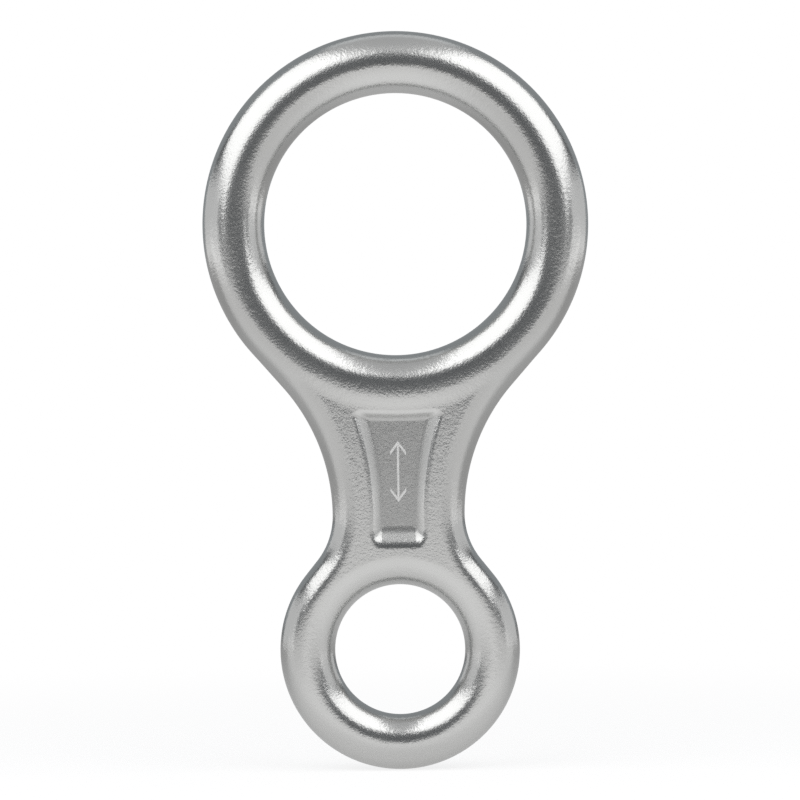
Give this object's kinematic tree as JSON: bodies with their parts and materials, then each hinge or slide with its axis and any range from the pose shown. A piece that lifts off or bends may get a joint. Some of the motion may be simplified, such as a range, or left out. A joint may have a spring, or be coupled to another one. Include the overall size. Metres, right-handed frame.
{
  "type": "figure-eight descender",
  "caption": "One-piece forged figure-eight belay and rappel device: a large rope ring, a waisted web with a recessed panel, and a small carabiner eye.",
  "frame": {"origin": "centre of the carabiner eye, on the mid-plane of the forging", "axes": "+Z from the carabiner eye to the rope ring, +Y through the holes from the front face to the back face, +X to the right seen from the front"},
  "size_m": [0.0784, 0.0124, 0.1499],
  "materials": {
    "forged_aluminium": "satin"
  },
  "bodies": {
    "root": {"descender_body": "forged_aluminium"}
  },
  "joints": []
}
